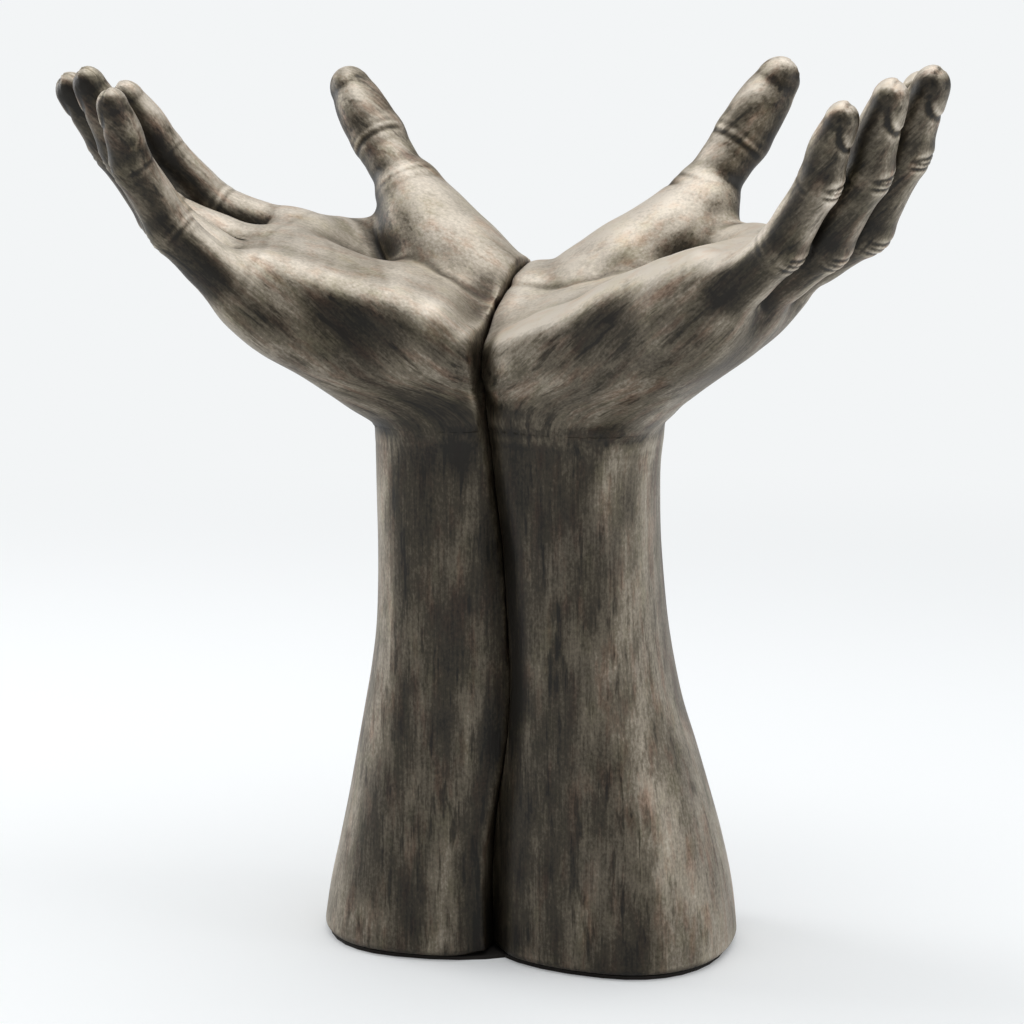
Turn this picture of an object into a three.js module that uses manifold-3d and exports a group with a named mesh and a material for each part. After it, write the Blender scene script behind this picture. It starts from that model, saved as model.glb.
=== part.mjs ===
// Cupped hands sculpture: two open hands on joined forearms, cast resin, free standing.
// Millimetres, +Z up. The origin is on the floor under the middle of the base,
// X runs across the two arms and the little fingers are on the -Y side.
import * as THREE from 'three';
import { LoftGeometry } from 'three/addons/geometries/LoftGeometry.js';
import { mergeVertices } from 'three/addons/utils/BufferGeometryUtils.js';
import Module from 'manifold-3d';

const wasm = await Module();
wasm.setup();

// Clearances
const fit = 0.3;                  // between two pieces that touch
const wall = 5;                   // thickness of the hollow forearm castings

// Base and forearms
const feltThickness = 1.2;
const feltInset = 0.8;            // the felt stops short of the casting's edge
const seamHeight = 186;           // wrist crease, where each hand sits on its forearm
const baseReach = 75;             // from the middle to the outer side of an arm, at the floor
const waistReach = 49;            // the same at the slimmest part
const wristReach = 50.5;          // the same at the wrist crease
const innerReach = 18;            // how far an uncut arm runs past the middle
const baseDepth = 43;             // half the front to back depth at the floor
const wristDepth = 29;            // the same at the wrist
const wristY = -12;               // the wrist stands a little nearer the front than the base
const armFullness = 2.25;         // exponent of the arm's cross section, 2 is an ellipse
const footRound = 1.6;            // small rounding along the bottom edge
const armSides = 32;
const beyond = 400;               // past the object on every side, for cutting blocks

// Fixing pieces
const topThickness = 30;          // solid top of each forearm, for the wrist dowels
const dowelRadius = 4;
const dowelDepth = 20;            // into the hand and into the forearm
const dowelPitch = 22;            // between the two dowels of a wrist
const wireRadius = 1.5;
const wireSides = 6;
const wireSteps = 14;
const wireTipGap = 9;             // the wire stops short of the finger tip
const wirePitch = 7;              // between wires at the wrist face
const boltRadius = 3;
const nutRadius = 6.5;            // across the corners
const nutThickness = 5;
const plugThickness = 6;
const ballastHeight = 40;
const fillerRadius = 6;           // hole that the ballast is poured through

// Hand sizes, in the frame of the palm: along the metacarpals, toward the thumb, out of the palm
const wristCentre = [25, wristY, seamHeight];
const fingerShapes = {
  index: { knuckle: [78, 25.5, -1], bones: [38, 27, 28], width: 16.5 },
  middle: { knuckle: [83.5, 3, -1.5], bones: [41, 30, 28], width: 16.6 },
  ring: { knuckle: [78, -13.5, 0], bones: [39, 29, 30], width: 16.2 },
  little: { knuckle: [79, -29, 5], bones: [32.5, 25.5, 26], width: 15 },
};
const thumbShape = { root: [33, 33, 24.5], bones: [38, 23.5, 30], width: 20.5 };
const digitSides = 16;
const domeSteps = [0.6, 0.9];     // rings on a domed end, in shares of its radius
const moundSwell = 1.6;           // the soft forms run into each other, so each is this much fuller
const tipLean = 0.11;             // the tip runs toward the nail side by this share of the width
const tipStart = 2.25;            // place along the digit where that begins, counted in bones

// Ball of the thumb and the skin between thumb and index: centre in the palm frame, then radius
const thumbBall = [
  [-8, 12, 22, 7], [-3, 16, 27, 13], [7, 21, 30, 17], [20, 27, 29.5, 19.5],
  [35, 34, 27, 19.5], [50, 42.5, 26.5, 16], [62, 50, 27.5, 12],
];
const thumbWeb = [[42, 38, 20, 10], [58, 41, 15, 10.5], [70, 36, 7, 10], [82, 29, 0, 8.5]];

// Soft saddle where the heels of the two hands meet, in the frame of the base
const heelSaddle = [
  [4, -38, 203, 6], [3, -31, 209, 10], [2, -15, 216, 13], [1, 0, 223, 14], [1, 11, 226, 13], [3, 20, 219, 8],
];

// Pose of each hand, in degrees: lift of the palm, turn to the front, tilt of the thumb side,
// then for each finger its spread and the bends at its three joints. The drops lower the ball
// of the thumb and the skin beside it, and the trims thin the palm. The crest runs along the
// little finger side of the palm, the flank lies under it and the cushion fills the middle.
const poses = {
  left: {
    side: 1,
    palm: [39.6, 19.9, 19.1],
    index: [-8.8, -7.5, 15, 26.5],
    middle: [-6, -13.3, 31.5, 11],
    ring: [-5.4, -8.5, 24, 17],
    little: [-3.8, -3.8, 19.5, 14],
    thumb: { out: 36, up: 11, roll: 70, bends: [7, 10.5] },
    ballDrop: 0,
    webDrop: 1.5,
    palmTrim: 1,
    backTrim: 0,
    crest: [
      [13, -24, 35, 8], [24, -24, 30.5, 8], [34, -23.5, 26.4, 8], [47, -22.5, 24, 8],
      [58, -22, 21, 8], [70, -22.5, 17, 8], [82, -23.5, 13, 7.5], [90, -27, 9, 6.5],
    ],
    flank: [
      [12, -21, 27, 10], [24, -20.5, 22.5, 10], [36, -20.4, 17, 10], [49, -23, 13.8, 10],
      [65, -25.7, 11, 10], [80, -26, 7.5, 9],
    ],
    cushion: [
      [14, 0, 24, 14], [26, 0, 19, 14], [38, 1, 13.5, 14], [50, 0, 10.5, 14],
      [60, 0, 7, 14], [70, 0, 3, 14], [78, 0, -1, 13],
    ],
  },
  right: {
    side: -1,
    palm: [40.3, 9.7, 26.1],
    index: [-3.5, -20.8, 31.3, 15.5],
    middle: [-7, -16, 38, 4],
    ring: [-1.5, -5.8, 28.5, 11],
    little: [-3.7, 4.6, 21, 20],
    thumb: { out: 29.7, up: 2.7, roll: 70, bends: [2.2, 3.6] },
    ballDrop: 1.5,
    webDrop: 8,
    palmTrim: 3,
    backTrim: 3,
    crest: [
      [14, -16.5, 41.5, 8], [26, -16, 38.6, 8], [38, -17, 31.2, 8], [50, -18.4, 23.2, 8],
      [60.5, -19, 18.4, 8], [70, -19.8, 13.6, 8], [80, -21.5, 10, 7.5], [88, -26.5, 6.4, 6.5],
    ],
    flank: [
      [12, -16, 33, 10], [24, -17, 27, 10], [37, -18.5, 17, 10], [50, -21.5, 11.5, 10],
      [63.5, -24, 7.8, 10], [78, -26.5, 4.5, 9],
    ],
    cushion: [
      [14, 2, 29, 14], [26, 2, 25.5, 14], [38, 1, 18, 14], [50, 0, 10, 14],
      [60, 0, 5.5, 14], [70, 0, 1.5, 14], [78, 0, -2, 13],
    ],
  },
};

// The line where the two arms meet wanders a little on its way up: height and offset in X
const meetingLine = [
  [0, -6], [0.15, -6.5], [0.3, -4], [0.42, 2], [0.6, 2], [0.8, -1.5], [1, -6], [1.2, -7], [1.35, -1],
];

const radians = THREE.MathUtils.degToRad;
const vector = (x, y, z) => new THREE.Vector3(x, y, z);

// Ease between the listed values of a profile, each given as [place, value]
function along(profile, place) {
  const last = profile.length - 1;
  if (place <= profile[0][0]) return profile[0][1];
  if (place >= profile[last][0]) return profile[last][1];
  const next = profile.findIndex((step) => step[0] > place);
  const [from, start] = profile[next - 1];
  const [to, end] = profile[next];
  return THREE.MathUtils.lerp(start, end, (place - from) / (to - from));
}

// Closed ring of points: wide along one axis, with its own height above and below it
function ring({ centre, across, above, half, up, down, fullness, sides, arch = 0 }) {
  const points = [];
  for (let i = 0; i < sides; i += 1) {
    const angle = (2 * Math.PI * i) / sides;
    const c = Math.cos(angle);
    const s = Math.sin(angle);
    const x = Math.sign(c) * Math.abs(c) ** (2 / fullness);
    const y = Math.sign(s) * Math.abs(s) ** (2 / fullness);
    const rise = y * (s > 0 ? up : down) + arch * x * x;
    points.push(centre.clone().addScaledVector(across, half * x).addScaledVector(above, rise));
  }
  return points;
}

// Closed solid through a row of rings
function loft(rings) {
  const geometry = new LoftGeometry(rings, { capStart: true, capEnd: true });
  return solidOf(geometry);
}

function solidOf(geometry) {
  const shell = new THREE.BufferGeometry();
  shell.setAttribute('position', geometry.attributes.position);
  if (geometry.index) shell.setIndex(geometry.index);
  const merged = mergeVertices(shell, 1e-4);
  return new wasm.Manifold(new wasm.Mesh({
    numProp: 3,
    vertProperties: Float32Array.from(merged.attributes.position.array),
    triVerts: Uint32Array.from(merged.index.array),
  }));
}

function geometryOf(solid) {
  const mesh = solid.getMesh();
  const geometry = new THREE.BufferGeometry();
  geometry.setAttribute('position', new THREE.BufferAttribute(mesh.vertProperties, 3));
  geometry.setIndex(new THREE.BufferAttribute(mesh.triVerts, 1));
  geometry.computeVertexNormals();
  return geometry;
}

function box(x0, x1, y0, y1, z0, z1) {
  const geometry = new THREE.BoxGeometry(x1 - x0, y1 - y0, z1 - z0);
  geometry.translate((x0 + x1) / 2, (y0 + y1) / 2, (z0 + z1) / 2);
  return solidOf(geometry);
}

// Round bar between two heights, or along X when lying
function bar(radius, length, sides, centre, lying) {
  const geometry = new THREE.CylinderGeometry(radius, radius, length, sides);
  geometry.rotateX(Math.PI / 2);
  if (lying) geometry.rotateY(Math.PI / 2);
  geometry.translate(centre.x, centre.y, centre.z);
  return solidOf(geometry);
}

// Everything on one side of the wandering line between the arms
function sideBlock(side, clearance) {
  const outline = new THREE.Shape();
  meetingLine.forEach(([height, offset], i) => {
    const x = offset + side * clearance;
    const z = i === 0 ? -beyond : height * seamHeight;
    if (i === 0) outline.moveTo(x, z);
    outline.lineTo(x, height * seamHeight);
  });
  const top = meetingLine[meetingLine.length - 1][1] + side * clearance;
  outline.lineTo(top, beyond);
  outline.lineTo(side * beyond, beyond);
  outline.lineTo(side * beyond, -beyond);
  outline.closePath();
  const geometry = new THREE.ExtrudeGeometry(outline, { depth: 2 * beyond, bevelEnabled: false });
  geometry.rotateX(Math.PI / 2);
  geometry.translate(0, beyond, 0);
  return solidOf(geometry);
}

// Reach, half depth and middle of an arm at a height given as a part of the seam height
const armReach = [
  [0, baseReach],
  [0.13, baseReach - 0.19 * (baseReach - waistReach)],
  [0.27, baseReach - 0.43 * (baseReach - waistReach)],
  [0.4, baseReach - 0.68 * (baseReach - waistReach)],
  [0.52, baseReach - 0.86 * (baseReach - waistReach)],
  [0.64, baseReach - 0.96 * (baseReach - waistReach)],
  [0.78, waistReach],
  [0.9, THREE.MathUtils.lerp(waistReach, wristReach, 0.4)],
  [1, wristReach],
];

function armRing(side, height, inset, edge) {
  const place = height / seamHeight;
  const reach = along(armReach, place);
  const depth = THREE.MathUtils.lerp(baseDepth, wristDepth, place ** 0.85);
  const centreY = wristY * place ** 0.9;
  return ring({
    centre: vector((side * reach) / 2, centreY, height),
    across: vector(0, side, 0),
    above: vector(-side, 0, 0),
    half: (depth - inset) * edge,
    up: (reach / 2 + innerReach - inset) * edge,
    down: (reach / 2 - inset) * edge,
    fullness: armFullness,
    sides: armSides,
  });
}

function armColumn(side, from, to, inset, foot) {
  const heights = armReach.map((step) => step[0] * seamHeight).filter((z) => z > from + 3 && z < to - 3);
  const rings = [];
  rings.push(armRing(side, from, inset, foot ? 1 - footRound / baseDepth : 1));
  if (foot) rings.push(armRing(side, from + footRound, inset, 1));
  heights.forEach((z) => rings.push(armRing(side, z, inset, 1)));
  rings.push(armRing(side, to, inset, 1));
  return loft(rings);
}

const footHeight = feltThickness + fit;
const hollowTop = seamHeight - topThickness;
const tieHeights = { lower: 0.45 * seamHeight, upper: 0.74 * seamHeight };

// Room inside an arm, smaller by the clearance for the pieces that fill it
function armRoom(side, from, to, clearance) {
  const room = armColumn(side, from, to, wall + clearance, false);
  return room.intersect(sideBlock(side, wall + clearance));
}

function dowelCentres(pose) {
  const { side } = pose;
  const x = side * wristCentre[0] * 0.55;
  return [-0.5, 0.5].map((step) => vector(x, wristY + step * dowelPitch, seamHeight));
}

function meetingX(height) {
  return along(meetingLine, height / seamHeight);
}

function tieCentre(height) {
  return vector(meetingX(height), wristY * (height / seamHeight), height);
}

function forearm(pose) {
  const { side } = pose;
  let solid = armColumn(side, footHeight, seamHeight, 0, true);
  solid = solid.intersect(sideBlock(side, fit / 2));
  solid = solid.subtract(armRoom(side, footHeight - 1, hollowTop, 0));
  dowelCentres(pose).forEach((centre) => {
    solid = solid.subtract(bar(dowelRadius + fit, 2 * (dowelDepth + fit), 24, centre, false));
  });
  Object.values(tieHeights).forEach((height) => {
    solid = solid.subtract(bar(boltRadius + fit, 6 * wall, 20, tieCentre(height), true));
  });
  return solid;
}

// Frame of a palm: along the metacarpals, toward the thumb, out of the palm
function palmFrame(pose) {
  const [lift, turn, tilt] = pose.palm.map(radians);
  const frame = new THREE.Matrix4().makeRotationX(tilt);
  frame.premultiply(new THREE.Matrix4().makeRotationY(-lift));
  frame.premultiply(new THREE.Matrix4().makeRotationZ(-turn));
  return frame;
}

// Joints of a finger and the two axes that its rings stand on, for the hand on the +X side
function fingerLine(pose, name) {
  const shape = fingerShapes[name];
  const frame = palmFrame(pose);
  const [spread, ...bends] = pose[name].map(radians);
  const root = vector(...wristCentre).add(vector(...shape.knuckle).applyMatrix4(frame));
  const ahead = vector(Math.cos(spread), Math.sin(spread), 0).applyMatrix4(frame);
  const out = vector(0, 0, 1).applyMatrix4(frame);
  return bendChain(root, ahead, out, shape.bones, bends);
}

function thumbLine(pose) {
  const { out, up, roll, bends } = pose.thumb;
  const frame = palmFrame(pose);
  const flat = radians(out);
  const lift = radians(up);
  const ahead = vector(
    Math.cos(lift) * Math.cos(flat),
    Math.cos(lift) * Math.sin(flat),
    Math.sin(lift),
  ).applyMatrix4(frame);
  const normal = vector(0, 0, 1).applyMatrix4(frame);
  const aside = ahead.clone().cross(normal).normalize();
  const bendWay = aside.clone().cross(ahead).multiplyScalar(Math.cos(radians(roll)));
  bendWay.addScaledVector(aside, Math.sin(radians(roll)));
  const root = vector(...wristCentre).add(vector(...thumbShape.root).applyMatrix4(frame));
  return bendChain(root, ahead, bendWay, thumbShape.bones, [0, ...bends.map(radians)]);
}

// Points of a chain of bones that bends toward one side
function bendChain(root, ahead, toward, bones, bends) {
  const joints = [root];
  const ways = [];
  let total = 0;
  bones.forEach((bone, i) => {
    total += bends[i];
    const way = ahead.clone().multiplyScalar(Math.cos(total)).addScaledVector(toward, Math.sin(total));
    ways.push(way);
    joints.push(joints[i].clone().addScaledVector(way, bone));
  });
  return { joints, ways, hinge: toward.clone().cross(ahead).normalize() };
}

// Half widths of a digit along its length: place in bones counted from the knuckle, share of the width
const fingerGirth = [
  [-0.6, 0.3], [-0.3, 0.46], [0, 0.55], [0.3, 0.56], [0.7, 0.52], [1, 0.54], [1.25, 0.5],
  [1.6, 0.465], [1.85, 0.47], [2, 0.475], [2.2, 0.45], [2.5, 0.43], [2.72, 0.37], [2.9, 0.3],
  [3.05, 0.19], [3.12, 0.09],
];
const thumbGirth = [
  [0.3, 0.7], [0.7, 0.6], [1, 0.53], [1.35, 0.46], [1.8, 0.46], [2, 0.48], [2.3, 0.475], [2.55, 0.44],
  [2.78, 0.36], [2.92, 0.27], [3.01, 0.17], [3.06, 0.07],
];

function digit(line, girth, width, flatness) {
  const { joints, ways, hinge } = line;
  const rings = girth.map(([place, share]) => {
    const bone = Math.min(Math.max(Math.floor(place), 0), 2);
    const reach = joints[bone + 1].distanceTo(joints[bone]) * (place - bone);
    const turnHere = Math.abs(place - Math.round(place)) < 0.01 && bone > 0 && place < 3;
    const way = turnHere ? ways[bone].clone().add(ways[bone - 1]).normalize() : ways[bone];
    const inward = way.clone().cross(hinge);
    const lean = tipLean * width * THREE.MathUtils.smoothstep(place, tipStart, 3);
    return ring({
      centre: joints[bone].clone().addScaledVector(ways[bone], reach).addScaledVector(inward, -lean),
      across: hinge,
      above: inward,
      half: share * width,
      up: share * width * flatness,
      down: share * width * flatness,
      fullness: 2.1,
      sides: digitSides,
    });
  });
  return loft(rings);
}

// Rows of the hand's body from the wrist to the knuckles: how far the frame has turned from the
// forearm to the palm, place along the palm, shift toward the thumb, shift out of the palm,
// half width, thickness toward the palm side and toward the back
const bodyRows = [
  { turned: 0.5, at: 12, shift: 0, rise: 8, half: 30, palm: 36, back: 22 },
  { turned: 0.85, at: 25, shift: 0, rise: 8, half: 33, palm: 28, back: 23 },
  { turned: 1, at: 40, shift: 0, rise: 5, half: 35.5, palm: 19, back: 20 },
  { turned: 1, at: 57, shift: 0, rise: 3, half: 37.5, palm: 13, back: 19 },
  { turned: 1, at: 72, shift: -2, rise: 1, half: 37.5, palm: 11, back: 18 },
  { turned: 1, at: 84, shift: -4, rise: 0, half: 34, palm: 9, back: 15.5 },
  { turned: 1, at: 90, shift: -4, rise: 0, half: 25, palm: 5, back: 10 },
];
const palmFullness = 2.2;         // exponent of the hand's cross section
const palmArch = 3;               // how far the edges of the hand stand above its middle
const trimFrom = 20;              // the palm is thinned from here along it,
const trimFull = 60;              // and by the whole trim from here

function handBody(pose) {
  const palm = new THREE.Quaternion().setFromRotationMatrix(palmFrame(pose));
  const upright = new THREE.Matrix4().makeBasis(vector(0, 0, 1), vector(0, 1, 0), vector(-1, 0, 0));
  const wrist = new THREE.Quaternion().setFromRotationMatrix(upright);
  const start = vector(...wristCentre);
  const rings = [-4, 3].map((rise) => ring({
    centre: vector(start.x, start.y, start.z + rise),
    across: vector(0, 1, 0),
    above: vector(-1, 0, 0),
    half: wristDepth,
    up: start.x + innerReach,
    down: wristReach - start.x,
    fullness: armFullness,
    sides: armSides,
  }));
  bodyRows.forEach((row) => {
    const facing = wrist.clone().slerp(palm, row.turned);
    const centre = vector(row.at, row.shift, row.rise).applyQuaternion(palm).add(start);
    const trim = pose.palmTrim * THREE.MathUtils.smoothstep(row.at, trimFrom, trimFull);
    rings.push(ring({
      centre,
      across: vector(0, 1, 0).applyQuaternion(facing),
      above: vector(0, 0, 1).applyQuaternion(facing),
      half: row.half,
      up: row.palm - trim,
      down: row.back - pose.backTrim,
      fullness: palmFullness,
      sides: armSides,
      arch: palmArch,
    }));
  });
  return loft(rings);
}

// Rounded form through a row of balls, a centre and a radius each, with domed ends
function mound(rows, frame) {
  const centres = rows.map(([x, y, z]) => vector(x, y, z).applyMatrix4(frame));
  const out = vector(0, 0, 1).transformDirection(frame);
  const last = rows.length - 1;
  const ringAt = (i, ahead) => {
    const way = centres[Math.min(i + 1, last)].clone().sub(centres[Math.max(i - 1, 0)]).normalize();
    const across = out.clone().cross(way).normalize();
    const full = rows[i][3] + moundSwell;
    const radius = full * Math.sqrt(1 - ahead * ahead);
    return ring({
      centre: centres[i].clone().addScaledVector(way, full * ahead),
      across,
      above: way.clone().cross(across),
      half: radius,
      up: radius,
      down: radius,
      fullness: 2,
      sides: digitSides,
    });
  };
  const rings = rows.map((row, i) => ringAt(i, 0));
  domeSteps.forEach((step) => {
    rings.unshift(ringAt(0, -step));
    rings.push(ringAt(last, step));
  });
  return loft(rings);
}

// Row of balls halfway between two others
function halfway(rows, others) {
  return rows.map((row, i) => row.map((value, j) => (value + others[i][j]) / 2));
}

// Palm frame standing at the wrist, lowered out of the palm by the drop
function palmPlace(pose, drop) {
  const frame = palmFrame(pose);
  return frame.clone().setPosition(vector(0, 0, -drop).applyMatrix4(frame).add(vector(...wristCentre)));
}

const fingerNames = Object.keys(fingerShapes);

// Wire path from the wrist face through the palm to near the tip
function wirePath(pose, name) {
  const { joints, ways } = name === 'thumb' ? thumbLine(pose) : fingerLine(pose, name);
  const place = ['little', 'ring', 'middle', 'index', 'thumb'].indexOf(name) - 2;
  const foot = vector(wristCentre[0], wristY + place * wirePitch, seamHeight);
  const points = [foot, foot.clone().add(vector(1, 0, 10)), ...joints];
  points[points.length - 1] = joints[3].clone().addScaledVector(ways[2], -wireTipGap);
  return new THREE.CatmullRomCurve3(points, false, 'centripetal');
}

function wireSolid(pose, name, radius) {
  const section = new THREE.Shape();
  for (let i = 0; i < wireSides; i += 1) {
    const angle = (2 * Math.PI * i) / wireSides;
    const x = radius * Math.cos(angle);
    const y = radius * Math.sin(angle);
    if (i === 0) section.moveTo(x, y);
    else section.lineTo(x, y);
  }
  section.closePath();
  const path = wirePath(pose, name);
  return solidOf(new THREE.ExtrudeGeometry(section, { steps: wireSteps, extrudePath: path }));
}

function mirrored(solid, side) {
  return side > 0 ? solid : solid.mirror([1, 0, 0]);
}

function aboveSeam(clearance) {
  return box(-beyond, beyond, -beyond, beyond, seamHeight + clearance, 2 * beyond);
}

function hand(pose) {
  let solid = handBody(pose);
  fingerNames.forEach((name) => {
    solid = solid.add(digit(fingerLine(pose, name), fingerGirth, fingerShapes[name].width, 0.96));
  });
  solid = solid.add(digit(thumbLine(pose), thumbGirth, thumbShape.width, 0.92));
  solid = solid.add(mound(thumbBall, palmPlace(pose, pose.ballDrop)));
  solid = solid.add(mound(thumbWeb, palmPlace(pose, pose.webDrop)));
  [pose.crest, pose.flank, pose.cushion, halfway(pose.cushion, pose.crest)].forEach((rows) => {
    solid = solid.add(mound(rows, palmPlace(pose, 0)));
  });
  solid = solid.add(mound(heelSaddle, new THREE.Matrix4()));
  [...fingerNames, 'thumb'].forEach((name) => {
    solid = solid.subtract(wireSolid(pose, name, wireRadius + fit));
  });
  solid = mirrored(solid, pose.side);
  solid = solid.intersect(sideBlock(pose.side, fit / 2));
  solid = solid.intersect(aboveSeam(fit));
  dowelCentres(pose).forEach((centre) => {
    solid = solid.subtract(bar(dowelRadius + fit, 2 * (dowelDepth + fit), 24, centre, false));
  });
  return solid;
}

function digitWire(pose, name) {
  return mirrored(wireSolid(pose, name, wireRadius), pose.side).intersect(aboveSeam(2 * fit));
}

function basePlug(pose) {
  const room = armRoom(pose.side, footHeight, footHeight + plugThickness, fit);
  const centre = vector(pose.side * baseReach * 0.5, 0, footHeight);
  return room.subtract(bar(fillerRadius, 4 * plugThickness, 32, centre, false));
}

function ballast(pose) {
  const from = footHeight + plugThickness + fit;
  return armRoom(pose.side, from, from + ballastHeight, fit);
}

function feltSheet() {
  const pads = [-1, 1].map((side) => {
    const edge = (height) => {
      const points = armRing(side, footHeight, feltInset + footRound, 1);
      points.forEach((point) => point.setZ(height));
      return points;
    };
    return loft([edge(0), edge(feltThickness)]);
  });
  return pads[0].add(pads[1]);
}

// Inner face of the two joined walls where a bolt head or nut bears
function wallFace(side, height) {
  const faces = [-nutRadius, 0, nutRadius].map((step) => side * meetingX(height + step));
  return side * (Math.max(...faces) + wall);
}

function tieBolt(height) {
  const centre = tieCentre(height);
  const headX = wallFace(-1, height) - fit - nutThickness / 2;
  const endX = wallFace(1, height) + 2 * nutThickness;
  const shank = bar(boltRadius, endX - headX, 20, centre.clone().setX((headX + endX) / 2), true);
  return shank.add(bar(nutRadius, nutThickness, 6, centre.clone().setX(headX), true));
}

function tieNut(height) {
  const centre = tieCentre(height).setX(wallFace(1, height) + fit + nutThickness / 2);
  const hex = bar(nutRadius, nutThickness, 6, centre, true);
  return hex.subtract(bar(boltRadius + fit, 3 * nutThickness, 20, centre, true));
}

function wristDowel(centre) {
  return bar(dowelRadius, 2 * dowelDepth, 24, centre, false);
}

// Materials
function finish(color, roughness, metalness) {
  return new THREE.MeshStandardMaterial({ color, roughness, metalness });
}

const patinatedResin = () => finish(0x80766a, 0.5, 0.3);
const steelWire = () => finish(0x8d8f91, 0.35, 1);
const beechDowel = () => finish(0xb98f5f, 0.7, 0);
const plugBoard = () => finish(0x5a5148, 0.8, 0);
const plaster = () => finish(0xd6d0c4, 0.9, 0);
const darkFelt = () => finish(0x25211e, 0.95, 0);

const sculpture = new THREE.Group();
sculpture.name = 'cupped_hands_sculpture';

function place(name, solid, material) {
  const mesh = new THREE.Mesh(geometryOf(solid), material);
  mesh.name = name;
  sculpture.add(mesh);
}

Object.entries(poses).forEach(([sideName, pose]) => {
  place(`${sideName}_forearm`, forearm(pose), patinatedResin());
  place(`${sideName}_hand`, hand(pose), patinatedResin());
  dowelCentres(pose).forEach((centre, i) => {
    place(`${sideName}_wrist_dowel_${i === 0 ? 'front' : 'back'}`, wristDowel(centre), beechDowel());
  });
  [...fingerNames, 'thumb'].forEach((name) => {
    place(`${sideName}_${name}_wire`, digitWire(pose, name), steelWire());
  });
  place(`${sideName}_base_plug`, basePlug(pose), plugBoard());
  place(`${sideName}_ballast`, ballast(pose), plaster());
});
Object.entries(tieHeights).forEach(([level, height]) => {
  place(`${level}_tie_bolt`, tieBolt(height), steelWire());
  place(`${level}_tie_nut`, tieNut(height), steelWire());
});
place('base_felt', feltSheet(), darkFelt());

export default sculpture;
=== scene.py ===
# Cupped hands sculpture in cast resin with a rubbed bronze and pewter paint.
# The scene is in metres. The shape work below is in millimetres, for the arm on the +X side,
# and the other arm is the same work with its own pose, mirrored.
import bpy
import math
import numpy as np
from mathutils import Matrix, Vector


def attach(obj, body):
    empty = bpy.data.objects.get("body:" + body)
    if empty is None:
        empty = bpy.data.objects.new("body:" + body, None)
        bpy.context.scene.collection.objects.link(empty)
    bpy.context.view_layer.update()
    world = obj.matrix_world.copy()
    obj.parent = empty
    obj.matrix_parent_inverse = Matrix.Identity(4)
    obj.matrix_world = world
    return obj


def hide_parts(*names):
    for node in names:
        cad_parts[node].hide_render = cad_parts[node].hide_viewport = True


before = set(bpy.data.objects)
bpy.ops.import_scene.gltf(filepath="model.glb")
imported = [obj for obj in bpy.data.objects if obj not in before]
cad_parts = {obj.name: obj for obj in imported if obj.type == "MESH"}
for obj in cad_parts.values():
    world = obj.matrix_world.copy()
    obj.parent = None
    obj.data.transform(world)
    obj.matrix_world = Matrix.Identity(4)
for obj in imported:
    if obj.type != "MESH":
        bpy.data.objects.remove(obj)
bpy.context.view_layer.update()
print("stage: frame loaded")


# Small helpers for numbers

def interpolate(pairs, value):
    # straight lines through the listed places
    table = np.array(pairs, float)
    return np.interp(value, table[:, 0], table[:, 1])


def softTable(pairs, spread):
    # the same lines sampled closely, then averaged over a bell curve so that no corner is left
    table = np.array(pairs, float)
    step = 0.01
    places = np.arange(table[0, 0] - 3 * spread, table[-1, 0] + 3 * spread + step, step)
    values = np.interp(places, table[:, 0], table[:, 1])
    reach = np.arange(-3 * spread, 3 * spread + step, step)
    bell = np.exp(-((reach / spread) ** 2))
    padded = np.pad(values, len(reach) // 2, mode="edge")
    smooth = np.convolve(padded, bell / bell.sum(), mode="same")[len(reach) // 2:][:len(values)]
    return places, smooth


def ease(value, low, high):
    # 0 below low, 1 above high, an S curve between
    t = np.clip((value - low) / (high - low), 0, 1)
    return t * t * (3 - 2 * t)


def unit(vector):
    # the vector divided by its length
    vector = np.asarray(vector, float)
    return vector / np.linalg.norm(vector)


def splineRows(rows, count):
    # cubic curve through the rows, spaced by the distance between their centres
    rows = np.asarray(rows, float)
    gaps = np.linalg.norm(np.diff(rows[:, :3], axis=0), axis=1)
    knots = np.concatenate([[0], np.cumsum(gaps)])
    slopes = np.gradient(rows, knots, axis=0)
    where = np.linspace(0, knots[-1], count)
    i = np.clip(np.searchsorted(knots, where, side="right") - 1, 0, len(knots) - 2)
    span = (knots[i + 1] - knots[i])[:, None]
    t = ((where - knots[i])[:, None]) / span
    a = 2 * t ** 3 - 3 * t ** 2 + 1
    b = t ** 3 - 2 * t ** 2 + t
    c = 3 * t ** 2 - 2 * t ** 3
    d = t ** 3 - t ** 2
    return a * rows[i] + b * span * slopes[i] + c * rows[i + 1] + d * span * slopes[i + 1]


# The volume that the clay is built up in

clay = {
    "step": 0.9,                   # mm between samples, the fineness of the sculpture's surface
    "low": (-16.0, -96.0, -6.0),
    "high": (166.0, 50.0, 322.0),
    # how softly forms join: mounds and tendons, the palm's middle, neighbouring digits, finger roots
    "chainSoftness": {"firm": 6, "broad": 8, "cushion": 10},
    "digitSoftness": {"finger": 0.8, "thumb": 3},
    "webSoftness": 5.0,
    # where the arms meet, by height: the rounding of each arm, how far the valley between them is
    # filled, and the rounding of the hairline at its bottom
    "grooveSoftness": [(0, 12), (60, 13), (145, 13), (180, 7), (195, 3), (215, 2)],
    "valleySoftness": [(0, 8), (60, 8), (130, 7), (170, 3.8), (186, 3), (200, 2.8), (215, 2)],
    "hairline": 0.3,
}


def newVolume():
    # a grid of distances in mm to the nearest form, all far away at first; below 0 is inside
    axes = [np.arange(clay["low"][i], clay["high"][i], clay["step"], dtype=np.float32) for i in range(3)]
    shape = tuple(len(axis) for axis in axes)
    return {"axes": axes, "value": np.full(shape, 60, np.float32)}


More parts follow.
